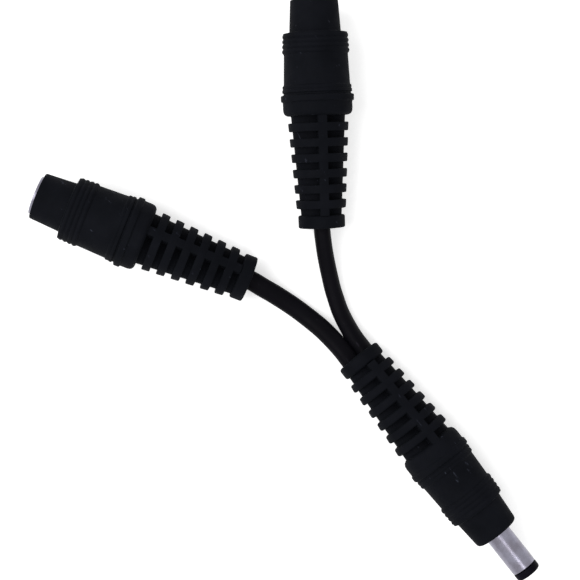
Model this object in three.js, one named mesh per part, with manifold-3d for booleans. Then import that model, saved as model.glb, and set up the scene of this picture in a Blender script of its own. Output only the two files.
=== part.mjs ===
// A splitter cable: one moulded barrel plug, two short leads and two moulded barrel sockets.
// Sizes are in millimetres and +Z is up. The origin is the middle of the table area under the part.
// Each connector is drawn in a frame of its own: y runs along its axis, from the cable mouth at 0
// to the mating end, x is across the pair of conductors and z goes through the relief's web.
import * as THREE from 'three';
import { mergeVertices } from 'three/addons/utils/BufferGeometryUtils.js';
import Module from 'manifold-3d';

const wasm = await Module();
wasm.setup();

// Clearances
const FIT = 0.2; // radial gap between pieces that slide into each other
const SEAT = 0.3; // gap along the axis between pieces that meet face to face
const OVERLAP = 1; // how far joined or cutting shapes run into each other
const WELD = 1e-4; // points closer than this are one point

// Sides of the round shapes
const BODY_SIDES = 24;
const RELIEF_SIDES = 20;
const INSERT_SIDES = 20;
const CORD_SIDES = 8;

// Leads
const LEAD_DIAMETER = 3.8;
const LEAD_BORE = 2.8;
const LEAD_PITCH = 3.84; // between the two leads, side by side in the plug
const WIRE_DIAMETER = 1.2;
const WIRE_PITCH = 1.36;
const LEAD_STEP = 4.8; // between the tube's rings
const WIRE_END = 29.6; // where the stripped wires end, from the cable mouth
const CHAMBER_START = 25.6; // where the lead hole opens into the solder chamber

// Strain relief, the same on all three mouldings
const COLLAR_LENGTH = 2.7;
const COLLAR_RADIUS = 4.95;
const COLLAR_ROUND = 0.3;
const RIB_COUNT = 6;
const RIB_WIDTH = 1.8;
const RIB_GAP = 1.44;
const RIB_ROUND = 0.22;
const RIB_RADIUS_AT_COLLAR = 5.15;
const RIB_RADIUS_AT_BODY = 6.47;
const CORE_WIDTH_AT_COLLAR = 8.64;
const CORE_WIDTH_AT_BODY = 11.48;
const CORE_HEIGHT_SHARE = 0.7; // the core is an ellipse, lower than it is wide
const WEB_WIDTH = 1.7;
const WEB_DROP = 0.08; // how far the web stays below the ribs' tops
const RIB_PITCH = RIB_WIDTH + RIB_GAP;
const RELIEF_LENGTH = COLLAR_LENGTH + RIB_GAP + RIB_COUNT * RIB_PITCH;

// Moulded bodies. Places along the axis are from the body's rear face.
const SOCKET_BODY = {
  capRadius: 7.32,
  rearCorner: 1.5,
  ringAt: 3.7,
  ringWidth: 1.5,
  ringRadius: 7.7,
  grooveRadius: 7.12,
  beadAt: 5.2,
  beadPitch: 0.8,
  beadRadius: 7.35,
  beadDrop: 0.1,
  barrelRadius: 6.98,
  barrelEndRadius: 6.72,
  gripAt: 13.45,
  gripPitch: 1.03,
  gripRadius: 7.05,
  gripDrop: 0.055,
  gripDepth: 0.22,
  noseRadius: 5.4,
  noseTipRadius: 5.0,
  noseCorner: 0.7,
  faceAt: 24.1,
};
const PLUG_BODY = {
  capRadius: 6.73,
  rearCorner: 1.9,
  ringAt: 4.2,
  ringWidth: 1.5,
  ringRadius: 7.02,
  grooveRadius: 6.66,
  beadAt: 5.57,
  beadPitch: 0.9,
  beadRadius: 6.75,
  beadDrop: 0.04,
  barrelRadius: 6.35,
  barrelEndRadius: 6.08,
  gripAt: 13.17,
  gripPitch: 1.06,
  gripRadius: 6.44,
  gripDrop: 0.05,
  gripDepth: 0.16,
  noseRadius: 5.45,
  noseTipRadius: 4.93,
  noseCorner: 0.9,
  faceAt: 23.6,
};
const RING_SLOPE = 0.25; // run of each sloping side of the big ring
const BEAD_COUNT = 2;
const BEAD_TOP = 0.2;
const BEAD_VALLEY = 0.5; // from a bead's middle to the valley on either side
const GRIP_COUNT = 4;
const GRIP_TOP = 0.34;
const SHOULDER_LENGTH = 0.55;
const CORNER_POINTS = 3;

// Plug insert
const SLEEVE_RADIUS = 2.75;
const SLEEVE_WALL = 0.45;
const SLEEVE_STANDS_OUT = 8.9;
const SLEEVE_FLANGE_RADIUS = 4.2;
const SLEEVE_FLANGE = 1.0;
const PLUG_BORE_LENGTH = 10.2; // the nose bore, from the face back to the solder chamber
const PLUG_CHAMBER_RADIUS = 4.6;
const TIP_LENGTH = 1.6;
const TIP_INNER_STEP = 0.53; // from the tip's rear to the step in its bore
const TIP_ROUND = 0.7;
const TIP_BORE_RADIUS = 1.3;
const BUSHING_WALL = 0.4;
const CONTACT_BORE_RADIUS = 1.25;
const CONTACT_TAIL_WIDTH = 1.6;
const CONTACT_TAIL_THICKNESS = 0.5;
const LUG_THICKNESS = 0.4;
const LUG_TAIL_WIDTH = 1.2;
const WASHER_RADIUS = 3.1;
const WASHER_THICKNESS = 1.0;
const TAIL_OVERLAP = 1.3; // how far a solder tail runs beside its wire

// Socket insert
const SHELL_RADIUS = 3.7;
const SHELL_WALL = 0.4;
const SHELL_LENGTH = 11.6;
const MOUTH_RING_RADIUS = 4.15;
const MOUTH_RING_LENGTH = 0.9;
const MOUTH_RING_STANDS_OUT = 0.5;
const MOUTH_CHAMFER = 0.25;
const BLOCK_LENGTH = 3.4;
const SOCKET_CHAMBER_RADIUS = 3.4;
const PIN_RADIUS = 1.2;
const PIN_RECESS = 1.2; // from the mouth to the pin's tip
const PIN_HEAD_RADIUS = 1.9;
const PIN_HEAD = 0.8;
const PIN_TAIL_WIDTH = 1.1;
const PIN_TAIL_THICKNESS = 0.4;
const LEAF_THICKNESS = 0.2;
const LEAF_WIDTH = 1.4;
const LEAF_PLACE = 2.8; // from the axis to the leaf's inner face
const LEAF_PRESS = 0.2; // how far the leaf's bend reaches towards the axis
const LEAF_REACH = 7.6; // from the block's front face to the leaf's free end
const LEAF_CREST = 5.7; // and to where it reaches in furthest
const LEAF_BEND = 3.8; // and to where its bend starts

// Where the connectors lie: the cable mouth, the way the mating end points as an angle from +X, and
// the roll of the web about the axis, positive to the right seen along the axis from the mouth
const PLUG_PLACE = { x: -3.45, y: -6.19, heading: -90, roll: -16.2 };
const SOCKET_A_PLACE = { x: 7.49, y: 19.91, heading: 53.92, roll: 7.3 };
const SOCKET_B_PLACE = { x: -11.46, y: 20.75, heading: 120.07, roll: 17.6 };

// Centrelines of the leads between the mouths, from the plug to the socket
const LEAD_A_ROUTE = [
  [-1.55, -3.1, 4.0],
  [-1.2, -0.2, 3.3],
  [-0.45, 3.35, 2.5],
  [0.4, 5.85, 2.2],
  [1.3, 8.2, 2.17],
  [2.4, 10.6, 2.37],
  [3.5, 12.9, 2.85],
  [4.65, 15.15, 3.6],
  [5.95, 17.45, 4.3],
];
const LEAD_B_ROUTE = [
  [-5.25, -3.4, 5.0],
  [-5.4, -0.7, 4.3],
  [-5.85, 3.05, 3.1],
  [-6.4, 5.6, 2.4],
  [-7.0, 8.05, 2.05],
  [-7.7, 10.55, 2.1],
  [-8.5, 13.0, 2.65],
  [-9.35, 15.4, 3.45],
  [-10.3, 17.8, 4.25],
];

const PLUG_FACE = RELIEF_LENGTH + PLUG_BODY.faceAt;
const SOCKET_FACE = RELIEF_LENGTH + SOCKET_BODY.faceAt;
const LEAD_HOLE_RADIUS = LEAD_DIAMETER / 2 + FIT;

// Materials

function matte(color, roughness) {
  return new THREE.MeshStandardMaterial({ color, roughness, metalness: 0 });
}

function metal(color, roughness) {
  return new THREE.MeshStandardMaterial({ color, roughness, metalness: 1 });
}

const moulding = () => matte(0x14161a, 0.6);
const jacket = () => matte(0x121316, 0.55);
const insulator = () => matte(0x0f1012, 0.5);
const nickel = () => metal(0xb8b8c2, 0.25);
const brass = () => metal(0xc7a35a, 0.35);
const redWire = () => matte(0x9c1f1c, 0.5);
const blackWire = () => matte(0x1c1c1e, 0.5);

// Solids

function cleaned(geometry) {
  const bare = geometry.clone();
  bare.deleteAttribute('normal');
  bare.deleteAttribute('uv');
  const merged = mergeVertices(bare, WELD);
  const corners = merged.index.array;
  const kept = [];
  for (let i = 0; i < corners.length; i += 3) {
    const [a, b, c] = corners.slice(i, i + 3);
    if (a !== b && b !== c && c !== a) kept.push(a, b, c);
  }
  merged.setIndex(kept);
  return merged;
}

function solidOf(geometry) {
  const { attributes, index } = cleaned(geometry);
  return new wasm.Manifold(
    new wasm.Mesh({
      numProp: 3,
      vertProperties: new Float32Array(attributes.position.array),
      triVerts: new Uint32Array(index.array),
    }),
  );
}

function geometryOf(solid) {
  const { vertProperties, triVerts } = solid.getMesh();
  const geometry = new THREE.BufferGeometry();
  geometry.setAttribute('position', new THREE.BufferAttribute(vertProperties, 3));
  geometry.setIndex(new THREE.BufferAttribute(triVerts, 1));
  geometry.computeVertexNormals();
  return geometry;
}

function named(name, geometry, material) {
  const mesh = new THREE.Mesh(geometry, material);
  mesh.name = name;
  return mesh;
}

// A round shape about the axis, from its outline as pairs of radius and place along the axis
function turned(outline, sides) {
  return cleaned(new THREE.LatheGeometry(outline.map(([r, y]) => new THREE.Vector2(r, y)), sides));
}

function disc(radius, from, to, sides) {
  return turned([[0, from], [radius, from], [radius, to], [0, to]], sides);
}

// A tube or ring, closed on itself
function tube(inner, outer, from, to, sides) {
  const outline = [[inner, from], [outer, from], [outer, to], [inner, to], [inner, from]];
  return turned(outline, sides);
}

function box(xFrom, xTo, yFrom, yTo, zFrom, zTo) {
  const geometry = new THREE.BoxGeometry(xTo - xFrom, yTo - yFrom, zTo - zFrom);
  geometry.translate((xFrom + xTo) / 2, (yFrom + yTo) / 2, (zFrom + zTo) / 2);
  return geometry;
}

// Points of a quarter round about (radius, place), from one angle to another in degrees
function quarter(radius, place, round, fromAngle, toAngle) {
  const points = [];
  for (let i = 0; i <= CORNER_POINTS; i += 1) {
    const angle = THREE.MathUtils.degToRad(
      THREE.MathUtils.lerp(fromAngle, toAngle, i / CORNER_POINTS),
    );
    points.push([radius + round * Math.cos(angle), place + round * Math.sin(angle)]);
  }
  return points;
}

// Strain relief

function alongRelief(y) {
  return (y - COLLAR_LENGTH) / (RELIEF_LENGTH - COLLAR_LENGTH);
}

function ribRadius(y) {
  return THREE.MathUtils.lerp(RIB_RADIUS_AT_COLLAR, RIB_RADIUS_AT_BODY, alongRelief(y));
}

function coreRadius(y) {
  return THREE.MathUtils.lerp(CORE_WIDTH_AT_COLLAR, CORE_WIDTH_AT_BODY, alongRelief(y)) / 2;
}

function collar() {
  return turned(
    [
      [0, 0],
      [COLLAR_RADIUS - COLLAR_ROUND, 0],
      [COLLAR_RADIUS, COLLAR_ROUND],
      [COLLAR_RADIUS, COLLAR_LENGTH - RIB_ROUND],
      [COLLAR_RADIUS - RIB_ROUND, COLLAR_LENGTH],
      [0, COLLAR_LENGTH],
    ],
    RELIEF_SIDES,
  );
}

function rib(index) {
  const from = COLLAR_LENGTH + RIB_GAP + index * RIB_PITCH;
  const to = from + RIB_WIDTH;
  return turned(
    [
      [0, from],
      [ribRadius(from) - RIB_ROUND, from],
      [ribRadius(from), from + RIB_ROUND],
      [ribRadius(to), to - RIB_ROUND],
      [ribRadius(to) - RIB_ROUND, to],
      [0, to],
    ],
    RELIEF_SIDES,
  );
}

function core() {
  const from = COLLAR_LENGTH - OVERLAP;
  const to = RELIEF_LENGTH + OVERLAP;
  const outline = [[0, from], [coreRadius(from), from], [coreRadius(to), to], [0, to]];
  return turned(outline, RELIEF_SIDES).scale(1, 1, CORE_HEIGHT_SHARE);
}

function web() {
  const from = COLLAR_LENGTH - OVERLAP;
  const to = RELIEF_LENGTH + OVERLAP;
  const cone = turned(
    [[0, from], [ribRadius(from) - WEB_DROP, from], [ribRadius(to) - WEB_DROP, to], [0, to]],
    RELIEF_SIDES,
  );
  const half = WEB_WIDTH / 2;
  const slab = box(-half, half, from - OVERLAP, to + OVERLAP, -ribRadius(to), ribRadius(to));
  return solidOf(cone).intersect(solidOf(slab));
}

function strainRelief() {
  let relief = solidOf(collar()).add(solidOf(core())).add(web());
  for (let i = 0; i < RIB_COUNT; i += 1) {
    relief = relief.add(solidOf(rib(i)));
  }
  return relief;
}

// Moulded bodies

function ringTop(at, width, radius) {
  return [[radius, at - width / 2], [radius, at + width / 2]];
}

function bodyOutline(body) {
  const outline = [[0, 0]];
  outline.push(
    ...quarter(body.capRadius - body.rearCorner, body.rearCorner, body.rearCorner, -90, 0),
  );
  outline.push([body.capRadius, body.ringAt - body.ringWidth / 2]);
  outline.push(...ringTop(body.ringAt, body.ringWidth - 2 * RING_SLOPE, body.ringRadius));
  for (let i = 0; i < BEAD_COUNT; i += 1) {
    const at = body.beadAt + i * body.beadPitch;
    const radius = body.beadRadius - i * body.beadDrop;
    outline.push([body.grooveRadius - i * body.beadDrop, at - BEAD_VALLEY]);
    outline.push(...ringTop(at, BEAD_TOP, radius));
  }
  const beadsEnd = body.beadAt + (BEAD_COUNT - 1) * body.beadPitch + BEAD_VALLEY;
  outline.push([body.barrelRadius, beadsEnd]);
  outline.push([body.barrelEndRadius, body.gripAt - body.gripPitch / 2]);
  for (let i = 0; i < GRIP_COUNT; i += 1) {
    const at = body.gripAt + i * body.gripPitch;
    const radius = body.gripRadius - i * body.gripDrop;
    if (i > 0) outline.push([radius - body.gripDepth, at - body.gripPitch / 2]);
    outline.push(...ringTop(at, GRIP_TOP, radius));
  }
  const gripsEnd = body.gripAt + (GRIP_COUNT - 0.5) * body.gripPitch;
  outline.push([body.gripRadius - GRIP_COUNT * body.gripDrop - body.gripDepth, gripsEnd]);
  outline.push([body.noseRadius, gripsEnd + SHOULDER_LENGTH]);
  outline.push(
    ...quarter(
      body.noseTipRadius - body.noseCorner,
      body.faceAt - body.noseCorner,
      body.noseCorner,
      0,
      90,
    ),
  );
  outline.push([0, body.faceAt]);
  return outline;
}

function mouldedBody(body) {
  return solidOf(turned(bodyOutline(body), BODY_SIDES).translate(0, RELIEF_LENGTH, 0));
}

// Plug

const CHAMBER_END = PLUG_FACE - PLUG_BORE_LENGTH;
const FLANGE_FRONT = CHAMBER_END - SEAT;
const FLANGE_REAR = FLANGE_FRONT - SLEEVE_FLANGE;
const LUG_FRONT = FLANGE_REAR - SEAT;
const LUG_REAR = LUG_FRONT - LUG_THICKNESS;
const WASHER_FRONT = LUG_REAR - SEAT;
const WASHER_REAR = WASHER_FRONT - WASHER_THICKNESS;
const SLEEVE_FRONT = PLUG_FACE + SLEEVE_STANDS_OUT;
const SLEEVE_BORE_RADIUS = SLEEVE_RADIUS - SLEEVE_WALL;
const BUSHING_RADIUS = SLEEVE_BORE_RADIUS - FIT;
const BUSHING_BORE_RADIUS = BUSHING_RADIUS - BUSHING_WALL;
const CONTACT_RADIUS = BUSHING_BORE_RADIUS - FIT;
const TIP_REAR = SLEEVE_FRONT + FIT;
const TIP_FRONT = TIP_REAR + TIP_LENGTH;
const TIP_BORE_START = TIP_REAR + TIP_INNER_STEP;
const OUTER_WIRE = LEAD_PITCH / 2 + WIRE_PITCH / 2;
const LUG_TAIL_PLACE = OUTER_WIRE + WIRE_DIAMETER / 2 + SEAT;

function plugOvermould() {
  const hole = LEAD_HOLE_RADIUS;
  const holes = [-1, 1].map((side) =>
    solidOf(disc(hole, -OVERLAP, CHAMBER_START + OVERLAP, INSERT_SIDES)
      .translate((side * LEAD_PITCH) / 2, 0, 0)),
  );
  const cavity = solidOf(
    turned(
      [
        [0, CHAMBER_START],
        [PLUG_CHAMBER_RADIUS, CHAMBER_START],
        [PLUG_CHAMBER_RADIUS, CHAMBER_END],
        [SLEEVE_RADIUS + FIT, CHAMBER_END],
        [SLEEVE_RADIUS + FIT, PLUG_FACE + OVERLAP],
        [0, PLUG_FACE + OVERLAP],
      ],
      INSERT_SIDES,
    ),
  );
  const solid = mouldedBody(PLUG_BODY).add(strainRelief());
  return geometryOf(solid.subtract(cavity).subtract(holes[0]).subtract(holes[1]));
}

function plugSleeve() {
  return turned(
    [
      [SLEEVE_BORE_RADIUS, FLANGE_REAR],
      [SLEEVE_FLANGE_RADIUS, FLANGE_REAR],
      [SLEEVE_FLANGE_RADIUS, FLANGE_FRONT],
      [SLEEVE_RADIUS, FLANGE_FRONT],
      [SLEEVE_RADIUS, SLEEVE_FRONT],
      [SLEEVE_BORE_RADIUS, SLEEVE_FRONT],
      [SLEEVE_BORE_RADIUS, FLANGE_REAR],
    ],
    BODY_SIDES,
  );
}

// A ring behind the sleeve's flange with one tail beside the outer wire of each lead
function plugSleeveLug() {
  let lug = solidOf(
    tube(BUSHING_RADIUS + FIT, SLEEVE_FLANGE_RADIUS, LUG_REAR, LUG_FRONT, INSERT_SIDES),
  );
  const half = LUG_TAIL_WIDTH / 2;
  for (const side of [-1, 1]) {
    const near = side * LUG_TAIL_PLACE;
    const far = side * (LUG_TAIL_PLACE + LUG_THICKNESS);
    const tail = box(
      Math.min(near, far),
      Math.max(near, far),
      WIRE_END - TAIL_OVERLAP,
      LUG_FRONT - LUG_THICKNESS / 2,
      -half,
      half,
    );
    lug = lug.add(solidOf(tail));
  }
  return geometryOf(lug);
}

function plugInsulator() {
  return turned(
    [
      [BUSHING_BORE_RADIUS, LUG_REAR],
      [BUSHING_RADIUS, LUG_REAR],
      [BUSHING_RADIUS, TIP_REAR],
      [SLEEVE_RADIUS, TIP_REAR],
      ...quarter(SLEEVE_RADIUS - TIP_ROUND, TIP_FRONT - TIP_ROUND, TIP_ROUND, 0, 90),
      [TIP_BORE_RADIUS, TIP_FRONT],
      [TIP_BORE_RADIUS, TIP_BORE_START],
      [BUSHING_BORE_RADIUS, TIP_BORE_START],
      [BUSHING_BORE_RADIUS, LUG_REAR],
    ],
    BODY_SIDES,
  );
}

function plugRearWasher() {
  const bore = CONTACT_RADIUS + FIT;
  return tube(bore, WASHER_RADIUS, WASHER_REAR, WASHER_FRONT, INSERT_SIDES);
}

// The tube that takes the pin, closed behind, with a flat tail between the two inner wires
function plugCentreContact() {
  const rear = WASHER_REAR - PIN_HEAD;
  const front = TIP_BORE_START - SEAT;
  const barrel = turned(
    [
      [0, rear],
      [CONTACT_RADIUS, rear],
      [CONTACT_RADIUS, front],
      [CONTACT_BORE_RADIUS, front],
      [CONTACT_BORE_RADIUS, WASHER_FRONT],
      [0, WASHER_FRONT],
    ],
    INSERT_SIDES,
  );
  const tail = box(
    -CONTACT_TAIL_THICKNESS / 2,
    CONTACT_TAIL_THICKNESS / 2,
    WIRE_END - TAIL_OVERLAP,
    rear + PIN_HEAD / 2,
    -CONTACT_TAIL_WIDTH / 2,
    CONTACT_TAIL_WIDTH / 2,
  );
  return geometryOf(solidOf(barrel).add(solidOf(tail)));
}

// Sockets

const SOCKET_MOUTH = SOCKET_FACE + MOUTH_RING_STANDS_OUT;
const MOUTH_RING_REAR = SOCKET_MOUTH - MOUTH_RING_LENGTH;
const SHELL_BORE_RADIUS = SHELL_RADIUS - SHELL_WALL;
const SHELL_REAR = SOCKET_MOUTH - SHELL_LENGTH;
const BLOCK_FRONT = SHELL_REAR - SEAT;
const BLOCK_REAR = BLOCK_FRONT - BLOCK_LENGTH;
const PIN_HEAD_FRONT = BLOCK_REAR - SEAT;
const PIN_HEAD_REAR = PIN_HEAD_FRONT - PIN_HEAD;
const LEAF_TAIL_PLACE = WIRE_PITCH / 2 + WIRE_DIAMETER / 2 + SEAT;

function socketOvermould() {
  const cavity = solidOf(
    turned(
      [
        [0, -OVERLAP],
        [LEAD_HOLE_RADIUS, -OVERLAP],
        [LEAD_HOLE_RADIUS, CHAMBER_START],
        [SOCKET_CHAMBER_RADIUS, CHAMBER_START],
        [SOCKET_CHAMBER_RADIUS, PIN_HEAD_FRONT],
        [SHELL_RADIUS + FIT, PIN_HEAD_FRONT],
        [SHELL_RADIUS + FIT, MOUTH_RING_REAR - SEAT],
        [MOUTH_RING_RADIUS + FIT, MOUTH_RING_REAR - SEAT],
        [MOUTH_RING_RADIUS + FIT, SOCKET_MOUTH + OVERLAP],
        [0, SOCKET_MOUTH + OVERLAP],
      ],
      INSERT_SIDES,
    ),
  );
  return geometryOf(mouldedBody(SOCKET_BODY).add(strainRelief()).subtract(cavity));
}

function socketShell() {
  return turned(
    [
      [SHELL_BORE_RADIUS, SHELL_REAR],
      [SHELL_RADIUS, SHELL_REAR],
      [SHELL_RADIUS, MOUTH_RING_REAR],
      [MOUTH_RING_RADIUS, MOUTH_RING_REAR],
      [MOUTH_RING_RADIUS, SOCKET_MOUTH],
      [SHELL_BORE_RADIUS + MOUTH_CHAMFER, SOCKET_MOUTH],
      [SHELL_BORE_RADIUS, SOCKET_MOUTH - MOUTH_CHAMFER],
      [SHELL_BORE_RADIUS, SHELL_REAR],
    ],
    BODY_SIDES,
  );
}

// The block behind the shell, with a bore for the pin and a slot for the leaf
function socketInsulator() {
  const block = solidOf(
    tube(PIN_RADIUS + FIT, SHELL_RADIUS, BLOCK_REAR, BLOCK_FRONT, INSERT_SIDES),
  );
  const half = LEAF_WIDTH / 2 + FIT;
  const slot = box(
    LEAF_PLACE - FIT,
    LEAF_PLACE + LEAF_THICKNESS + FIT,
    BLOCK_REAR - OVERLAP,
    BLOCK_FRONT + OVERLAP,
    -half,
    half,
  );
  return geometryOf(block.subtract(solidOf(slot)));
}

// The pin with a domed tip, a head behind the block and a flat tail under its wire
function socketCentrePin() {
  const tip = SOCKET_MOUTH - PIN_RECESS;
  const pin = turned(
    [
      [0, PIN_HEAD_REAR],
      [PIN_HEAD_RADIUS, PIN_HEAD_REAR],
      [PIN_HEAD_RADIUS, PIN_HEAD_FRONT],
      [PIN_RADIUS, PIN_HEAD_FRONT],
      ...quarter(0, tip - PIN_RADIUS, PIN_RADIUS, 0, 90).slice(0, -1),
      [0, tip],
    ],
    INSERT_SIDES,
  );
  const top = -WIRE_DIAMETER / 2 - SEAT;
  const middle = -WIRE_PITCH / 2;
  const tail = box(
    middle - PIN_TAIL_WIDTH / 2,
    middle + PIN_TAIL_WIDTH / 2,
    WIRE_END - TAIL_OVERLAP,
    PIN_HEAD_REAR + PIN_HEAD / 2,
    top - PIN_TAIL_THICKNESS,
    top,
  );
  return geometryOf(solidOf(pin).add(solidOf(tail)));
}

// A leaf that lies along the bore's wall, bends inwards where it meets the plug, passes through
// the block and steps in beside its wire
function socketContactSpring() {
  const end = BLOCK_FRONT + LEAF_REACH;
  const crest = BLOCK_FRONT + LEAF_CREST;
  const bend = BLOCK_FRONT + LEAF_BEND;
  const step = PIN_HEAD_REAR - SEAT;
  const stepDepth = LEAF_PLACE - LEAF_TAIL_PLACE;
  const spine = [
    [LEAF_TAIL_PLACE, WIRE_END - TAIL_OVERLAP],
    [LEAF_TAIL_PLACE, step - stepDepth / 2],
    [LEAF_PLACE, step],
    [LEAF_PLACE, bend],
    [LEAF_PLACE - LEAF_PRESS, crest],
    [LEAF_PLACE, end],
  ];
  const outline = new THREE.Shape();
  spine.forEach(([x, y], i) => (i === 0 ? outline.moveTo(x, y) : outline.lineTo(x, y)));
  for (const [x, y] of spine.toReversed()) {
    outline.lineTo(x + LEAF_THICKNESS, y);
  }
  outline.closePath();
  const leaf = new THREE.ExtrudeGeometry(outline, { depth: LEAF_WIDTH, bevelEnabled: false });
  return cleaned(leaf.translate(0, 0, -LEAF_WIDTH / 2));
}

// Placing the connectors

// A connector lies on the rear edge of its collar and on the rear edge of its big ring
function restOf(body) {
  const ringEdge = RELIEF_LENGTH + body.ringAt - body.ringWidth / 2 + RING_SLOPE;
  const rise = body.ringRadius - COLLAR_RADIUS;
  const tilt = Math.atan2(rise, ringEdge - COLLAR_ROUND);
  const height = COLLAR_RADIUS * Math.cos(tilt) - COLLAR_ROUND * Math.sin(tilt);
  return { tilt, height };
}

function connectorAt(place, body) {
  const { tilt, height } = restOf(body);
  const { degToRad } = THREE.MathUtils;
  const group = new THREE.Group();
  group.position.set(place.x, place.y, height);
  group.rotation.set(tilt, degToRad(place.roll), degToRad(place.heading - 90), 'ZXY');
  group.updateMatrixWorld(true);
  return group;
}

function plugGroup() {
  const plug = connectorAt(PLUG_PLACE, PLUG_BODY);
  plug.add(
    named('plug_overmould', plugOvermould(), moulding()),
    named('plug_sleeve', plugSleeve(), nickel()),
    named('plug_sleeve_lug', plugSleeveLug(), brass()),
    named('plug_insulator', plugInsulator(), insulator()),
    named('plug_rear_washer', plugRearWasher(), insulator()),
    named('plug_centre_contact', plugCentreContact(), brass()),
  );
  return plug;
}

function socketGroup(name, place) {
  const socket = connectorAt(place, SOCKET_BODY);
  socket.add(
    named(`${name}_overmould`, socketOvermould(), moulding()),
    named(`${name}_shell`, socketShell(), nickel()),
    named(`${name}_insulator`, socketInsulator(), insulator()),
    named(`${name}_centre_pin`, socketCentrePin(), nickel()),
    named(`${name}_contact_spring`, socketContactSpring(), brass()),
  );
  return socket;
}

// Leads

// A path of straight steps between given points
class SteppedPath extends THREE.Curve {
  constructor(points) {
    super();
    this.points = points;
  }

  getPoint(t, target = new THREE.Vector3()) {
    const last = this.points.length - 1;
    const place = THREE.MathUtils.clamp(t, 0, 1) * last;
    const i = Math.min(Math.floor(place), last - 1);
    return target.lerpVectors(this.points[i], this.points[i + 1], place - i);
  }
}

// Points on a connector's axis, or beside it, from the mouth inwards
function insideConnector(group, across) {
  const places = [0, WIRE_END / 3, (WIRE_END * 2) / 3, WIRE_END];
  return places.map((y) => group.localToWorld(new THREE.Vector3(across, y, 0)));
}

function leadPoints(plug, across, route, socket) {
  const between = route.map((point) => new THREE.Vector3(...point));
  const points = [
    ...insideConnector(plug, across).reverse(),
    ...between,
    ...insideConnector(socket, 0),
  ];
  const curve = new THREE.CatmullRomCurve3(points, false, 'centripetal');
  return curve.getSpacedPoints(Math.round(curve.getLength() / LEAD_STEP));
}

function sectionPoints(diameter, across) {
  const turn = THREE.MathUtils.degToRad(-PLUG_PLACE.roll);
  const points = [];
  for (let i = 0; i < CORD_SIDES; i += 1) {
    const angle = turn + ((i + 0.5) * 2 * Math.PI) / CORD_SIDES;
    const x = across * Math.cos(turn) + (diameter / 2) * Math.cos(angle);
    const y = across * Math.sin(turn) + (diameter / 2) * Math.sin(angle);
    points.push(new THREE.Vector2(x, y));
  }
  return points;
}

function extrudedAlong(shape, points) {
  const extrudePath = new SteppedPath(points);
  const steps = points.length - 1;
  return cleaned(new THREE.ExtrudeGeometry(shape, { steps, extrudePath, bevelEnabled: false }));
}

// The jacket is one step shorter than its wires at each end
function leadJacket(points) {
  const section = new THREE.Shape(sectionPoints(LEAD_DIAMETER, 0));
  section.holes.push(new THREE.Path(sectionPoints(LEAD_BORE, 0)));
  return extrudedAlong(section, points.slice(1, -1));
}

function leadWire(points, side) {
  return extrudedAlong(new THREE.Shape(sectionPoints(WIRE_DIAMETER, (side * WIRE_PITCH) / 2)), points);
}

function leadMeshes(name, points) {
  return [
    named(`${name}_jacket`, leadJacket(points), jacket()),
    named(`${name}_positive_wire`, leadWire(points, 1), redWire()),
    named(`${name}_negative_wire`, leadWire(points, -1), blackWire()),
  ];
}

const cable = new THREE.Group();
const plug = plugGroup();
const socketA = socketGroup('socket_a', SOCKET_A_PLACE);
const socketB = socketGroup('socket_b', SOCKET_B_PLACE);
cable.add(plug, socketA, socketB);
cable.add(...leadMeshes('lead_a', leadPoints(plug, -LEAD_PITCH / 2, LEAD_A_ROUTE, socketA)));
cable.add(...leadMeshes('lead_b', leadPoints(plug, LEAD_PITCH / 2, LEAD_B_ROUTE, socketB)));

export default cable;
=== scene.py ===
"""The looks of a splitter cable: one moulded barrel plug, two short leads, two moulded sockets.

Sizes below are in millimetres in each connector's own frame: y runs along its axis from the cable
mouth to the mating end, and z goes through the web of its strain relief. The scene is in metres.
"""

import math

import bmesh
import bpy
import numpy as np
from mathutils import Euler, Matrix, Vector


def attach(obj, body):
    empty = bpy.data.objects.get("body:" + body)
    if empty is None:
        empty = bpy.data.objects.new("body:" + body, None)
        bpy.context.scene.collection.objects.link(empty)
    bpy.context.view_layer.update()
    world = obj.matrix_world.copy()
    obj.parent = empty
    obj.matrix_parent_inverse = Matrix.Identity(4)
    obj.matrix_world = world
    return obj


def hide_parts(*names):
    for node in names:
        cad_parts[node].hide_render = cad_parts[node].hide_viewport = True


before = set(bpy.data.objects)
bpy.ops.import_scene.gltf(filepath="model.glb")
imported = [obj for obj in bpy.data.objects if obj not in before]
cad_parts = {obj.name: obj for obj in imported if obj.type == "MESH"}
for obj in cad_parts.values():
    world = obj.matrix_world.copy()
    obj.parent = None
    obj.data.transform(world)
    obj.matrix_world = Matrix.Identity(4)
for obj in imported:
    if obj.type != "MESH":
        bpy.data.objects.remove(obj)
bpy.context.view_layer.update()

MM = 0.001
SEAT = 0.3  # gap along the axis between pieces that meet face to face
FIT = 0.2  # radial gap between pieces that slide into each other

# Strain relief
COLLAR_LENGTH = 2.7
COLLAR_RADIUS = 4.95
RIB_COUNT = 6
RIB_WIDTH = 1.8
RIB_GAP = 1.44
RIB_PITCH = RIB_WIDTH + RIB_GAP
RELIEF_LENGTH = COLLAR_LENGTH + RIB_GAP + RIB_COUNT * RIB_PITCH
RIB_RADIUS = (5.15, 6.47)  # at the collar and at the body
CORE_HALF_WIDTH = (4.32, 5.74)  # at the same two places
CORE_HEIGHT_SHARE = 0.65
WEB_HALF_WIDTH = 0.92
WEB_DROP = 0.05
SOCKET_RIB_ROUND = 0.22
PLUG_RIB_ROUND = 0.42
SOCKET_COLLAR_ROUND = 0.35
PLUG_COLLAR_ROUND = 0.6
COLLAR_DOME = 0.25  # how far the collar's rear face bulges
DOME_SHARES = (0.15, 0.35, 0.55, 0.75)  # of the radius inside the collar's rounded edge
LEAST_MARGIN = 0.01  # of a section's radius over half the web's width
GAP_NUDGE = 0.001  # from the collar to the first section in the gap ahead of it
RELIEF_INTO_BODY = 0.6  # past the body's rear face, so that no gap shows
SIDE_POINTS = 30
WEB_POINTS = 6

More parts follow.
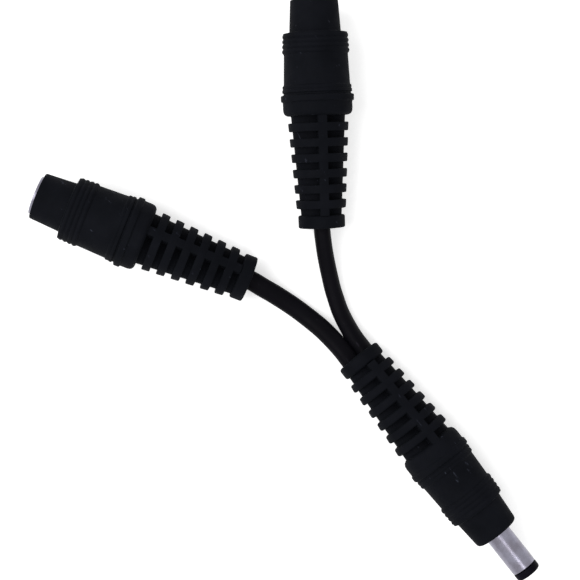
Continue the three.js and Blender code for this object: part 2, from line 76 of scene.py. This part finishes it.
# Small rings in front of each body's barrel. Foot and flat are shares of their pitch
GRIP_COUNT = 4
GRIP_FOOT = 0.48
GRIP_FLAT = 0.14
GRIP_ROUND = 0.3

# Plug insert
PLUG_LENGTH = 23.6  # body and nose
PLUG_FACE = RELIEF_LENGTH + PLUG_LENGTH
CHAMBER_START = 25.6  # the sockets' too
CHAMBER_RADIUS = 4.6
CHAMBER_END = PLUG_FACE - 10.2
SLEEVE_RADIUS = 2.75
SLEEVE_BORE = 2.3
SLEEVE_FRONT = PLUG_FACE + 8.9
FLANGE_RADIUS = 4.2
FLANGE_FRONT = CHAMBER_END - SEAT
FLANGE_REAR = FLANGE_FRONT - 1.0
BUSHING_RADIUS = 2.1
BUSHING_BORE = 1.7
BUSHING_REAR = FLANGE_REAR - 0.7
TIP_GAP = 0.2  # from the sleeve's end to the tip ring
TIP_REAR = SLEEVE_FRONT + TIP_GAP
TIP_FRONT = TIP_REAR + 1.6
TIP_BORE = 1.3
TIP_BORE_START = TIP_REAR + 0.53
CONTACT_RADIUS = 1.5
CONTACT_BORE = 1.25
CONTACT_FRONT = TIP_BORE_START - SEAT
CONTACT_REAR = FLANGE_REAR - 2.8
CONTACT_BORE_END = CONTACT_REAR + 1.8

# Socket insert
SOCKET_LENGTH = 24.1  # body and nose
SOCKET_FACE = RELIEF_LENGTH + SOCKET_LENGTH
SOCKET_MOUTH = SOCKET_FACE + 0.5
SHELL_RADIUS = 3.7
SHELL_BORE = 3.3
SHELL_REAR = SOCKET_MOUTH - 11.6
MOUTH_RING_RADIUS = 4.15
MOUTH_RING_REAR = SOCKET_MOUTH - 0.9
BLOCK_FRONT = SHELL_REAR - SEAT
BLOCK_REAR = BLOCK_FRONT - 3.4
PIN_RADIUS = 1.2
PIN_TIP = SOCKET_MOUTH - 1.2
SOCKET_CHAMBER_RADIUS = 3.4
PIN_HEAD_RADIUS = 1.9
PIN_HEAD = 0.8
BAR_BEVEL = 0.06

# How the connectors lie: mouth, heading from +X, roll of the web, tilt and height of the mouth
PLUG = {"mouth": (-3.45, -6.19, 4.913), "heading": -90.0, "roll": -16.2, "tilt": 4.387}
SOCKET_A = {"mouth": (7.49, 19.91, 4.893), "heading": 53.92, "roll": 7.3, "tilt": 5.929}
SOCKET_B = {"mouth": (-11.46, 20.75, 4.893), "heading": 120.07, "roll": 17.6, "tilt": 5.929}
SOCKETS = (("socket_a", SOCKET_A), ("socket_b", SOCKET_B))

# Leads, from the plug to the socket, between the mouths, in metres
LEAD_A_ROUTE = [
    (-0.00155, -0.0031, 0.0040),
    (-0.0012, -0.0002, 0.0033),
    (-0.00045, 0.00335, 0.0025),
    (0.0004, 0.00585, 0.0022),
    (0.0013, 0.0082, 0.00217),
    (0.0024, 0.0106, 0.00237),
    (0.0035, 0.0129, 0.00285),
    (0.00465, 0.01515, 0.0036),
    (0.00595, 0.01745, 0.0043),
]
LEAD_B_ROUTE = [
    (-0.00525, -0.0034, 0.0050),
    (-0.0054, -0.0007, 0.0043),
    (-0.00585, 0.00305, 0.0031),
    (-0.0064, 0.0056, 0.0024),
    (-0.0070, 0.00805, 0.00205),
    (-0.0077, 0.01055, 0.0021),
    (-0.0085, 0.0130, 0.00265),
    (-0.00935, 0.0154, 0.00345),
    (-0.0103, 0.0178, 0.00425),
]
LEAD_A_TURNS = (53, 75, 88)  # of the section's wide way from level, in degrees
LEAD_B_TURNS = (33, 15, 0)
TURN_PLACES = (0.32, 0.5, 0.66)  # shares of the lead, where its turns are given
ROUTE_SPACING = 0.0006  # metres between sections
LEAD_WIDE = 4.18
LEAD_NARROW = 3.54
LEAD_PITCH = 3.84
JACKET_END = 24.8  # from the mouth
WIRE_END = 29.6
TAIL_OVERLAP = 1.3  # how far a solder tail runs beside its wire
TAIL_INTO_HEAD = 0.4
LEAD_POINTS = 40  # round the section
SECTION_POWER = 0.9  # below 1 the section is fuller than an oval

# Camera, straight above the middle of the picture. Places in metres
VIEW_CENTRE = (-0.00605, 0.0137)
VIEW_HEIGHT = 0.298
VIEW_TURN = -38.25  # degrees, of the picture's upright about the view
PICTURE_SIZE = 580
FOCAL_PIXELS = 1380
SENSOR = 36.0

# Light and floor. Of each pair the first level lights the part, the second is seen directly and
# in gloss
WORLD_LEVELS = (0.55, 1.0)
FLOOR_GLOW = (0.0, 0.5)
FLOOR_GREY = 0.85
FLOOR_HALF = 1.5
KEY_LAMP = {"place": (-0.25, 0.25, 0.55), "size": 0.5, "power": 2.5}
FILL_LAMP = {"place": (-0.05, -0.21, 0.5), "size": 0.17, "power": 0.32}

# Plastic
PLASTIC_SPECULAR = 0.03
SCUFF_RANGE = (0.655, 0.70)  # of the noise, over which plastic turns into scuff
SCUFF_PALENESS = 5.0

# Fineness of the meshes
ROUND_STEPS = 112  # round a turned piece
CORNER_STEPS = 4  # over a rounded corner
SHARP_ANGLE = 38.0  # degrees, above which an edge stays sharp


# Camera, light and floor


def make_camera():
    data = bpy.data.cameras.new("camera")
    data.sensor_width = SENSOR
    data.lens = SENSOR * FOCAL_PIXELS / PICTURE_SIZE
    camera = bpy.data.objects.new("camera", data)
    camera.location = (*VIEW_CENTRE, VIEW_HEIGHT)
    camera.rotation_euler = (0, 0, math.radians(VIEW_TURN))
    bpy.context.scene.collection.objects.link(camera)
    bpy.context.scene.camera = camera


def area_lamp(name, place, size, power):
    data = bpy.data.lights.new(name, "AREA")
    data.shape = "DISK"
    data.size = size
    data.energy = power
    lamp = bpy.data.objects.new(name, data)
    lamp.location = place
    lamp.rotation_euler = (-Vector(place)).to_track_quat("-Z", "Y").to_euler()
    bpy.context.scene.collection.objects.link(lamp)


def seen_directly_or_in_gloss(tree, levels):
    """The second level for rays from the camera and for those off or through glossy surfaces.

    All other rays get the first level.
    """
    path = tree.nodes.new("ShaderNodeLightPath")
    total = path.outputs["Is Camera Ray"]
    for kind in ("Is Glossy Ray", "Is Transmission Ray"):
        add = tree.nodes.new("ShaderNodeMath")
        add.operation = "ADD"
        add.use_clamp = True
        tree.links.new(total, add.inputs[0])
        tree.links.new(path.outputs[kind], add.inputs[1])
        total = add.outputs["Value"]
    level = tree.nodes.new("ShaderNodeMapRange")
    level.inputs["To Min"].default_value, level.inputs["To Max"].default_value = levels
    tree.links.new(total, level.inputs["Value"])
    return level.outputs["Result"]


def make_world():
    world = bpy.data.worlds.new("studio")
    world.use_nodes = True
    tree = world.node_tree
    background = tree.nodes["Background"]
    strength = seen_directly_or_in_gloss(tree, WORLD_LEVELS)
    tree.links.new(strength, background.inputs["Strength"])
    background.inputs["Color"].default_value = (1, 1, 1, 1)
    bpy.context.scene.world = world


def make_floor():
    mesh = bpy.data.meshes.new("floor")
    half = FLOOR_HALF
    corners = [(-half, -half, 0), (half, -half, 0), (half, half, 0), (-half, half, 0)]
    mesh.from_pydata(corners, [], [(0, 1, 2, 3)])
    floor = bpy.data.objects.new("floor", mesh)
    bpy.context.scene.collection.objects.link(floor)
    material = bpy.data.materials.new("floor_white")
    material.use_nodes = True
    tree = material.node_tree
    shader = tree.nodes["Principled BSDF"]
    shader.inputs["Base Color"].default_value = (*[FLOOR_GREY] * 3, 1)
    shader.inputs["Roughness"].default_value = 0.8
    shader.inputs["Specular IOR Level"].default_value = 0.1
    shader.inputs["Emission Color"].default_value = (1, 1, 1, 1)
    glow = seen_directly_or_in_gloss(tree, FLOOR_GLOW)
    tree.links.new(glow, shader.inputs["Emission Strength"])
    mesh.materials.append(material)


# Materials


def new_material(name):
    material = bpy.data.materials.new(name)
    material.use_nodes = True
    tree = material.node_tree
    return material, tree, tree.nodes["Principled BSDF"]


def noise(tree, scale, detail=4.0, roughness=0.55, stretch=(1, 1, 1)):
    coordinates = tree.nodes.new("ShaderNodeTexCoord")
    mapping = tree.nodes.new("ShaderNodeMapping")
    mapping.inputs["Scale"].default_value = stretch
    texture = tree.nodes.new("ShaderNodeTexNoise")
    texture.inputs["Scale"].default_value = scale
    texture.inputs["Detail"].default_value = detail
    texture.inputs["Roughness"].default_value = roughness
    tree.links.new(coordinates.outputs["Object"], mapping.inputs["Vector"])
    tree.links.new(mapping.outputs["Vector"], texture.inputs["Vector"])
    return texture.outputs["Fac"]


def ramp(tree, value, stops):
    node = tree.nodes.new("ShaderNodeValToRGB")
    elements = node.color_ramp.elements
    while len(elements) < len(stops):
        elements.new(0.5)
    for element, (place, colour) in zip(elements, stops):
        element.position = place
        element.color = (*colour, 1)
    tree.links.new(value, node.inputs["Fac"])
    return node.outputs["Color"]


def spread(tree, value, low, high, from_low=0.3, from_high=0.7):
    node = tree.nodes.new("ShaderNodeMapRange")
    node.inputs["From Min"].default_value = from_low
    node.inputs["From Max"].default_value = from_high
    node.inputs["To Min"].default_value = low
    node.inputs["To Max"].default_value = high
    tree.links.new(value, node.inputs["Value"])
    return node.outputs["Result"]


def bump(tree, shader, height, strength, distance, below=None):
    node = tree.nodes.new("ShaderNodeBump")
    node.inputs["Strength"].default_value = strength
    node.inputs["Distance"].default_value = distance
    tree.links.new(height, node.inputs["Height"])
    if below is not None:
        tree.links.new(below, node.inputs["Normal"])
    tree.links.new(node.outputs["Normal"], shader.inputs["Normal"])
    return node.outputs["Normal"]


def mixed(tree, share, first, second):
    node = tree.nodes.new("ShaderNodeMix")
    node.data_type = "RGBA"
    tree.links.new(share, node.inputs["Factor"])
    tree.links.new(first, node.inputs["A"])
    node.inputs["B"].default_value = (*second, 1)
    return node.outputs["Result"]


def black_plastic(name, dark, light, roughness):
    """Black moulded plastic: soft patches, fine grain, a few pale scuffs."""
    material, tree, shader = new_material(name)
    patches = noise(tree, 140.0, 3.0)
    colour = ramp(tree, patches, [(0.3, dark), (0.7, light)])
    scuffs = noise(tree, 900.0, 5.0, 0.7, (1.0, 0.25, 1.0))
    scuffed = spread(tree, scuffs, 0.0, 1.0, *SCUFF_RANGE)
    colour = mixed(tree, scuffed, colour, tuple(SCUFF_PALENESS * c for c in light))
    tree.links.new(colour, shader.inputs["Base Color"])
    wear = noise(tree, 420.0, 4.0)
    rough = spread(tree, wear, roughness - 0.06, roughness + 0.08)
    tree.links.new(rough, shader.inputs["Roughness"])
    shader.inputs["Specular IOR Level"].default_value = PLASTIC_SPECULAR
    fine = bump(tree, shader, noise(tree, 2600.0, 3.0), 0.35, 0.00002)
    bump(tree, shader, noise(tree, 260.0, 2.0), 0.25, 0.00006, fine)
    return material


def plated_metal(name, colour, shade, roughness):
    """Plated metal: slight tarnish, fine drawn lines, uneven gloss."""
    material, tree, shader = new_material(name)
    tarnish = noise(tree, 500.0, 5.0)
    tarnished = ramp(tree, tarnish, [(0.35, shade), (0.65, colour)])
    tree.links.new(tarnished, shader.inputs["Base Color"])
    shader.inputs["Metallic"].default_value = 1.0
    lines = noise(tree, 1800.0, 3.0, 0.6)
    rough = spread(tree, lines, roughness - 0.05, roughness + 0.1)
    tree.links.new(rough, shader.inputs["Roughness"])
    bump(tree, shader, lines, 0.07, 0.00001)
    return material


def wire_insulation(name, dark, light):
    material, tree, shader = new_material(name)
    colour = ramp(tree, noise(tree, 300.0), [(0.3, dark), (0.7, light)])
    tree.links.new(colour, shader.inputs["Base Color"])
    rough = spread(tree, noise(tree, 700.0), 0.4, 0.55)
    tree.links.new(rough, shader.inputs["Roughness"])
    bump(tree, shader, noise(tree, 2200.0), 0.2, 0.00001)
    return material


# Meshes


def connector_matrix(place):
    x, y, z = place["mouth"]
    turn = Euler((0, 0, math.radians(place["heading"] - 90))).to_matrix()
    tilt = Euler((math.radians(place["tilt"]), 0, 0)).to_matrix()
    roll = Euler((0, math.radians(place["roll"]), 0)).to_matrix()
    matrix = (turn @ tilt @ roll).to_4x4()
    return Matrix.Translation((x * MM, y * MM, z * MM)) @ matrix @ Matrix.Scale(MM, 4)


def finished(name, verts, faces, material, place=None):
    """A smooth shaded piece that rides on the part, placed in the part's frame."""
    mesh = bpy.data.meshes.new(name)
    mesh.from_pydata([tuple(v) for v in verts], [], faces)
    work = bmesh.new()
    work.from_mesh(mesh)
    bmesh.ops.remove_doubles(work, verts=work.verts, dist=1e-5 if place else 1e-8)
    bmesh.ops.recalc_face_normals(work, faces=work.faces)
    work.to_mesh(mesh)
    work.free()
    if place:
        mesh.transform(connector_matrix(place))
    mesh.shade_smooth()
    mesh.set_sharp_from_angle(angle=math.radians(SHARP_ANGLE))
    mesh.materials.append(material)
    piece = bpy.data.objects.new(name, mesh)
    bpy.context.scene.collection.objects.link(piece)
    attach(piece, "root")
    return piece


def rounded(corners):
    """An outline through (radius, place, rounding) corners, each turned into a small curve."""
    line = []
    for i, (radius, place, rounding) in enumerate(corners):
        here = Vector((radius, place))
        if rounding == 0 or i in (0, len(corners) - 1):
            line.append(here)
            continue
        before = Vector(corners[i - 1][:2]) - here
        after = Vector(corners[i + 1][:2]) - here
        half = before.angle(after) / 2
        reach = min(rounding / math.tan(half), 0.48 * before.length, 0.48 * after.length)
        start = here + before.normalized() * reach
        end = here + after.normalized() * reach
        for k in range(CORNER_STEPS + 1):
            t = k / CORNER_STEPS
            line.append(start * (1 - t) ** 2 + here * 2 * t * (1 - t) + end * t**2)
    return line


def turned(outline):
    """Points and faces of an outline turned about the axis. Its ends lie on the axis or meet."""
    verts, faces = [], []
    for k in range(ROUND_STEPS):
        angle = 2 * math.pi * k / ROUND_STEPS
        for point in outline:
            verts.append((point[0] * math.sin(angle), point[1], point[0] * math.cos(angle)))
    count = len(outline)
    for k in range(ROUND_STEPS):
        a, b = k * count, ((k + 1) % ROUND_STEPS) * count
        for i in range(count - 1):
            faces.append((a + i, a + i + 1, b + i + 1, b + i))
    return verts, faces


def relief_share(y):
    return (y - COLLAR_LENGTH) / (RELIEF_LENGTH - COLLAR_LENGTH)


def between(pair, share):
    return pair[0] + (pair[1] - pair[0]) * share


def relief_section(y, rib=None):
    """Points round the relief: web, side, web, side. rib is the rib's radius, or None in a gap."""
    top = between(RIB_RADIUS, relief_share(y)) - WEB_DROP
    if rib is None:
        wide = between(CORE_HALF_WIDTH, relief_share(y))
        high = wide * CORE_HEIGHT_SHARE
    else:
        top = rib if y <= COLLAR_LENGTH else max(rib, top)
        wide = high = rib
    web = WEB_HALF_WIDTH
    points = []
    for sign in (1, -1):
        for k in range(WEB_POINTS + 1):
            x = sign * (-web + 2 * web * k / WEB_POINTS)
            points.append((x, y, sign * math.sqrt(top * top - x * x)))
        start = math.asin(min(1.0, web / wide))
        for k in range(SIDE_POINTS + 1):
            t = start + (math.pi - 2 * start) * k / SIDE_POINTS
            points.append((sign * wide * math.sin(t), y, sign * high * math.cos(t)))
    return points


def rib_rings(start, end, start_radius, end_radius, rounding):
    """(place, radius) of the rings over one rib, with rounded edges."""
    rings = []
    for k in range(CORNER_STEPS + 1):
        angle = math.pi / 2 * k / CORNER_STEPS
        place = start + rounding * (1 - math.cos(angle))
        rings.append((place, start_radius - rounding * (1 - math.sin(angle))))
    for k in range(CORNER_STEPS + 1):
        angle = math.pi / 2 * (1 - k / CORNER_STEPS)
        place = end - rounding * (1 - math.cos(angle))
        rings.append((place, end_radius - rounding * (1 - math.sin(angle))))
    return rings


def bridged(rings, count):
    """Faces between neighbouring rings of count points each."""
    faces = []
    for a in range(0, (rings - 1) * count, count):
        b = a + count
        faces += [(a + k, a + (k + 1) % count, b + (k + 1) % count, b + k) for k in range(count)]
    return faces


def relief(rounding, collar_round):
    """Points and faces of the strain relief: collar, ribs, flattened core and web."""
    sections = []
    for share in DOME_SHARES:
        radius = max((COLLAR_RADIUS - collar_round) * share, WEB_HALF_WIDTH + LEAST_MARGIN)
        sections.append(relief_section(-COLLAR_DOME * (1 - share**2), radius))
    for place, radius in rib_rings(0, COLLAR_LENGTH, COLLAR_RADIUS, COLLAR_RADIUS, collar_round):
        sections.append(relief_section(place, radius))
    sections.append(relief_section(COLLAR_LENGTH + GAP_NUDGE))
    for i in range(RIB_COUNT):
        start = COLLAR_LENGTH + RIB_GAP + i * RIB_PITCH
        end = start + RIB_WIDTH
        radii = [between(RIB_RADIUS, relief_share(y)) for y in (start, end)]
        sections.append(relief_section(start))
        for place, radius in rib_rings(start, end, *radii, rounding):
            sections.append(relief_section(place, radius))
        sections.append(relief_section(end))
    sections.append(relief_section(RELIEF_LENGTH + RELIEF_INTO_BODY))
    count = len(sections[0])
    verts = [p for section in sections for p in section]
    faces = bridged(len(sections), count)
    last = (len(sections) - 1) * count
    faces.append(tuple(range(count)))
    faces.append(tuple(reversed(range(last, last + count))))
    return verts, faces


def grips(first, pitch, radius, drop, depth):
    """Corners of the small rings in front of the barrel."""
    foot, flat = GRIP_FOOT * pitch, GRIP_FLAT * pitch
    corners = []
    for i in range(GRIP_COUNT):
        at, top = first + i * pitch, radius - i * drop
        base = top - depth
        corners += [
            (base, at - foot, GRIP_ROUND),
            (top, at - flat, GRIP_ROUND),
            (top, at + flat, GRIP_ROUND),
            (base, at + foot, GRIP_ROUND),
        ]
    return corners


def shifted(corners, by):
    return [(radius, place + by, rounding) for radius, place, rounding in corners]


def socket_outline():
    """A socket's body from the axis at its rear face to the rear of its chamber."""
    body = [
        (0, 0, 0),
        (7.32, 0, 1.5),
        (7.32, 2.9, 0.15),
        (7.7, 3.1, 0.3),
        (7.7, 4.3, 0.3),
        (7.1, 4.5, 0.1),
        (7.1, 4.78, 0.1),
        (7.35, 4.92, 0.15),
        (7.35, 5.44, 0.15),
        (7.2, 5.58, 0.15),
        (7.2, 5.7, 0.15),
        (7.26, 5.84, 0.2),
        (7.26, 6.24, 0.2),
        (6.98, 6.5, 0.2),
        (6.72, 12.86, 0.2),
        *grips(13.45, 1.03, 7.07, 0.055, 0.2),
        (6.78, 17.15, 0.2),
        (5.41, 17.4, 0.12),
        (5.0, SOCKET_LENGTH, 0.75),
        (MOUTH_RING_RADIUS + FIT, SOCKET_LENGTH, 0.08),
    ]
    bore = [
        (MOUTH_RING_RADIUS + FIT, MOUTH_RING_REAR - SEAT, 0),
        (SHELL_RADIUS + FIT, MOUTH_RING_REAR - SEAT, 0),
        (SHELL_RADIUS + FIT, BLOCK_REAR - SEAT, 0),
        (SOCKET_CHAMBER_RADIUS, BLOCK_REAR - SEAT, 0),
        (SOCKET_CHAMBER_RADIUS, CHAMBER_START, 0),
        (0, CHAMBER_START, 0),
    ]
    return rounded(shifted(body, RELIEF_LENGTH) + bore)


def plug_outline():
    """The plug's body from the axis at its rear face to the rear of its chamber."""
    body = [
        (0, 0, 0),
        (6.73, 0, 1.9),
        (6.73, 3.4, 0.15),
        (7.02, 3.65, 0.3),
        (7.02, 4.75, 0.3),
        (6.62, 4.98, 0.1),
        (6.62, 5.15, 0.1),
        (6.75, 5.32, 0.14),
        (6.75, 5.82, 0.14),
        (6.63, 5.98, 0.15),
        (6.63, 6.1, 0.15),
        (6.7, 6.24, 0.2),
        (6.7, 6.7, 0.2),
        (6.36, 7.0, 0.2),
        (6.08, 12.66, 0.2),
        *grips(13.17, 1.06, 6.46, 0.05, 0.17),
        (6.22, 16.95, 0.2),
        (5.45, 17.25, 0.12),
        (4.93, PLUG_LENGTH, 0.9),
        (SLEEVE_RADIUS + FIT, PLUG_LENGTH, 0.1),
    ]
    bore = [
        (SLEEVE_RADIUS + FIT, CHAMBER_END, 0),
        (CHAMBER_RADIUS, CHAMBER_END, 0),
        (CHAMBER_RADIUS, CHAMBER_START, 0),
        (0, CHAMBER_START, 0),
    ]
    return rounded(shifted(body, RELIEF_LENGTH) + bore)


def joined(*shapes):
    """Points and faces of several shapes as one."""
    verts, faces = [], []
    for more_verts, more_faces in shapes:
        offset = len(verts)
        verts += more_verts
        faces += [tuple(offset + i for i in face) for face in more_faces]
    return verts, faces


def moulding(name, place, outline, rounding, collar_round, material):
    shape = joined(turned(outline), relief(rounding, collar_round))
    piece = finished(f"{name}_moulding", *shape, material, place)
    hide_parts(f"{name}_overmould")


def turned_piece(name, node, place, corners, material):
    piece = finished(name, *turned(rounded(corners)), material, place)
    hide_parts(node)
    return piece


def plug_sleeve(material):
    corners = [
        (SLEEVE_BORE, FLANGE_REAR, 0),
        (FLANGE_RADIUS, FLANGE_REAR, 0.1),
        (FLANGE_RADIUS, FLANGE_FRONT, 0.1),
        (SLEEVE_RADIUS, FLANGE_FRONT, 0),
        (SLEEVE_RADIUS, SLEEVE_FRONT, 0.12),
        (SLEEVE_BORE, SLEEVE_FRONT, 0.08),
        (SLEEVE_BORE, FLANGE_REAR, 0),
    ]
    turned_piece("plug_barrel", "plug_sleeve", PLUG, corners, material)


def plug_insulator(material):
    corners = [
        (BUSHING_BORE, BUSHING_REAR, 0),
        (BUSHING_RADIUS, BUSHING_REAR, 0.05),
        (BUSHING_RADIUS, TIP_REAR, 0.04),
        (SLEEVE_RADIUS, TIP_REAR, 0.12),
        (SLEEVE_RADIUS, TIP_FRONT, 0.75),
        (TIP_BORE, TIP_FRONT, 0.2),
        (TIP_BORE, TIP_BORE_START, 0),
        (BUSHING_BORE, TIP_BORE_START, 0),
        (BUSHING_BORE, BUSHING_REAR, 0),
    ]
    turned_piece("plug_tip", "plug_insulator", PLUG, corners, material)


def plug_contact(material):
    corners = [
        (0, CONTACT_REAR, 0),
        (CONTACT_RADIUS, CONTACT_REAR, 0.1),
        (CONTACT_RADIUS, CONTACT_FRONT, 0.08),
        (CONTACT_BORE, CONTACT_FRONT, 0.08),
        (CONTACT_BORE, CONTACT_BORE_END, 0),
        (0, CONTACT_BORE_END, 0),
    ]
    reach = (WIRE_END - TAIL_OVERLAP, CONTACT_REAR + TAIL_INTO_HEAD)
    tail = flat_bar(thickness=0.5, reach=reach, width=1.6)
    shape = joined(turned(rounded(corners)), tail)
    piece = finished("plug_contact_tube", *shape, material, PLUG)
    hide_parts("plug_centre_contact")


def flat_bar(thickness, reach, width, middle=0.0, level=0.0):
    """A bar along the axis with its four long edges bevelled."""
    x, z, corner = thickness / 2, width / 2, BAR_BEVEL
    loop = [
        (x - corner, z), (x, z - corner), (x, corner - z), (x - corner, -z),
        (corner - x, -z), (-x, corner - z), (-x, z - corner), (corner - x, z),
    ]
    verts = [(middle + px, y, level + pz) for y in reach for px, pz in loop]
    faces = [(i, (i + 1) % 8, 8 + (i + 1) % 8, 8 + i) for i in range(8)]
    faces += [tuple(range(8)), tuple(reversed(range(8, 16)))]
    return verts, faces


def socket_shell(name, place, material):
    corners = [
        (SHELL_BORE, SHELL_REAR, 0),
        (SHELL_RADIUS, SHELL_REAR, 0.05),
        (SHELL_RADIUS, MOUTH_RING_REAR, 0),
        (MOUTH_RING_RADIUS, MOUTH_RING_REAR, 0.05),
        (MOUTH_RING_RADIUS, SOCKET_MOUTH, 0.2),
        (SHELL_BORE, SOCKET_MOUTH, 0.25),
        (SHELL_BORE, SHELL_REAR, 0),
    ]
    turned_piece(f"{name}_mouth_shell", f"{name}_shell", place, corners, material)


def socket_pin(name, place, material):
    head_front = BLOCK_REAR - SEAT
    head_rear = head_front - PIN_HEAD
    corners = [
        (0, head_rear, 0),
        (PIN_HEAD_RADIUS, head_rear, 0.1),
        (PIN_HEAD_RADIUS, head_front, 0.1),
        (PIN_RADIUS, head_front, 0),
        (PIN_RADIUS, PIN_TIP, 1.1),
        (0, PIN_TIP, 0),
    ]
    reach = (WIRE_END - TAIL_OVERLAP, head_rear + TAIL_INTO_HEAD)
    tail = flat_bar(thickness=1.1, reach=reach, width=0.4, middle=-0.68, level=-1.1)
    piece = finished(f"{name}_pin", *joined(turned(rounded(corners)), tail), material, place)
    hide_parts(f"{name}_centre_pin")


def make_mouldings(material):
    moulding("plug", PLUG, plug_outline(), PLUG_RIB_ROUND, PLUG_COLLAR_ROUND, material)
    for name, place in SOCKETS:
        outline = socket_outline()
        moulding(name, place, outline, SOCKET_RIB_ROUND, SOCKET_COLLAR_ROUND, material)


# Leads


def inside_points(place, across, reach):
    """Points on a connector's axis, or beside it, from the mouth inwards."""
    matrix = connector_matrix(place)
    return [matrix @ Vector((across, reach * share, 0)) for share in (0, 1 / 3, 2 / 3, 1)]


def smooth_route(points):
    """A curve through the points with its knots spaced by the root of their distance."""
    points = [Vector(p) for p in points]
    ends = [2 * points[0] - points[1], *points, 2 * points[-1] - points[-2]]
    line = []
    for i in range(1, len(ends) - 2):
        p0, p1, p2, p3 = ends[i - 1 : i + 3]
        t0 = 0.0
        t1 = t0 + (p1 - p0).length ** 0.5
        t2 = t1 + (p2 - p1).length ** 0.5
        t3 = t2 + (p3 - p2).length ** 0.5
        steps = max(2, round((p2 - p1).length / ROUTE_SPACING))
        for k in range(steps):
            t = t1 + (t2 - t1) * k / steps
            a1 = p0 * ((t1 - t) / (t1 - t0)) + p1 * ((t - t0) / (t1 - t0))
            a2 = p1 * ((t2 - t) / (t2 - t1)) + p2 * ((t - t1) / (t2 - t1))
            a3 = p2 * ((t3 - t) / (t3 - t2)) + p3 * ((t - t2) / (t3 - t2))
            b1 = a1 * ((t2 - t) / (t2 - t0)) + a2 * ((t - t0) / (t2 - t0))
            b2 = a2 * ((t3 - t) / (t3 - t1)) + a3 * ((t - t1) / (t3 - t1))
            line.append(b1 * ((t2 - t) / (t2 - t1)) + b2 * ((t - t1) / (t2 - t1)))
    line.append(points[-1])
    return line


def lead_section(turn):
    """Points of the flattened section. turn is the angle of its wide way from level, in radians."""
    points = []
    for k in range(LEAD_POINTS):
        angle = 2 * math.pi * k / LEAD_POINTS
        c, s = math.cos(angle), math.sin(angle)
        across = LEAD_WIDE / 2 * math.copysign(abs(c) ** SECTION_POWER, c)
        up = LEAD_NARROW / 2 * math.copysign(abs(s) ** SECTION_POWER, s)
        across_turned = across * math.cos(turn) - up * math.sin(turn)
        points.append((across_turned, across * math.sin(turn) + up * math.cos(turn)))
    return points


def make_lead(name, across, route, socket, turns, material):
    """One lead from inside the plug, along its route, to inside its socket."""
    points = [
        *reversed(inside_points(PLUG, across, JACKET_END)),
        *route,
        *inside_points(socket, 0, JACKET_END),
    ]
    line = smooth_route(points)
    verts = []
    up = Vector((0, 0, 1))
    for i, point in enumerate(line):
        along = (line[min(i + 1, len(line) - 1)] - line[max(i - 1, 0)]).normalized()
        left = up.cross(along).normalized()
        upright = along.cross(left)
        share = i / (len(line) - 1)
        turn = math.radians(np.interp(share, TURN_PLACES, turns))
        for u, v in lead_section(turn):
            verts.append(point + (left * u + upright * v) * MM)
    faces = bridged(len(line), LEAD_POINTS)
    last = (len(line) - 1) * LEAD_POINTS
    faces += [tuple(reversed(range(LEAD_POINTS))), tuple(range(last, last + LEAD_POINTS))]
    lead = finished(f"{name}_cable", verts, faces, material)
    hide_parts(f"{name}_jacket")


def repaint(node, material):
    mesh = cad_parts[node].data
    mesh.materials.clear()
    mesh.materials.append(material)


def paint_hidden_nodes(brass, insulator, red, black):
    """Inner pieces that keep their plain shapes get materials of their own."""
    for node in ("plug_sleeve_lug", "socket_a_contact_spring", "socket_b_contact_spring"):
        repaint(node, brass)
    for node in ("plug_rear_washer", "socket_a_insulator", "socket_b_insulator"):
        repaint(node, insulator)
    for lead in ("lead_a", "lead_b"):
        repaint(f"{lead}_positive_wire", red)
        repaint(f"{lead}_negative_wire", black)


bpy.context.scene.view_settings.view_transform = "Standard"
make_camera()

moulded = black_plastic(
    "moulded_black", (0.0034, 0.0039, 0.0055), (0.0057, 0.0063, 0.0089), roughness=0.7
)
jacketed = black_plastic(
    "jacket_black", (0.0024, 0.0023, 0.0034), (0.0040, 0.0036, 0.0054), roughness=0.5
)
hard_black = black_plastic(
    "insulator_black", (0.0028, 0.0025, 0.0050), (0.0044, 0.0038, 0.0076), roughness=0.45
)
nickel = plated_metal("nickel_plate", (0.26, 0.255, 0.315), (0.2, 0.19, 0.23), roughness=0.28)
brass = plated_metal("stamped_brass", (0.62, 0.46, 0.20), (0.50, 0.36, 0.15), roughness=0.35)
red_wire = wire_insulation("wire_red", (0.32, 0.018, 0.016), (0.42, 0.03, 0.025))
black_wire = wire_insulation("wire_black", (0.008, 0.008, 0.009), (0.014, 0.014, 0.015))

make_lead("lead_a", -LEAD_PITCH / 2, LEAD_A_ROUTE, SOCKET_A, LEAD_A_TURNS, jacketed)
make_lead("lead_b", LEAD_PITCH / 2, LEAD_B_ROUTE, SOCKET_B, LEAD_B_TURNS, jacketed)

make_mouldings(moulded)
plug_sleeve(nickel)
plug_insulator(hard_black)
plug_contact(brass)
for socket_name, socket_place in SOCKETS:
    socket_shell(socket_name, socket_place, nickel)
    socket_pin(socket_name, socket_place, nickel)
paint_hidden_nodes(brass, hard_black, red_wire, black_wire)

make_world()
make_floor()
area_lamp("key", **KEY_LAMP)
area_lamp("fill", **FILL_LAMP)
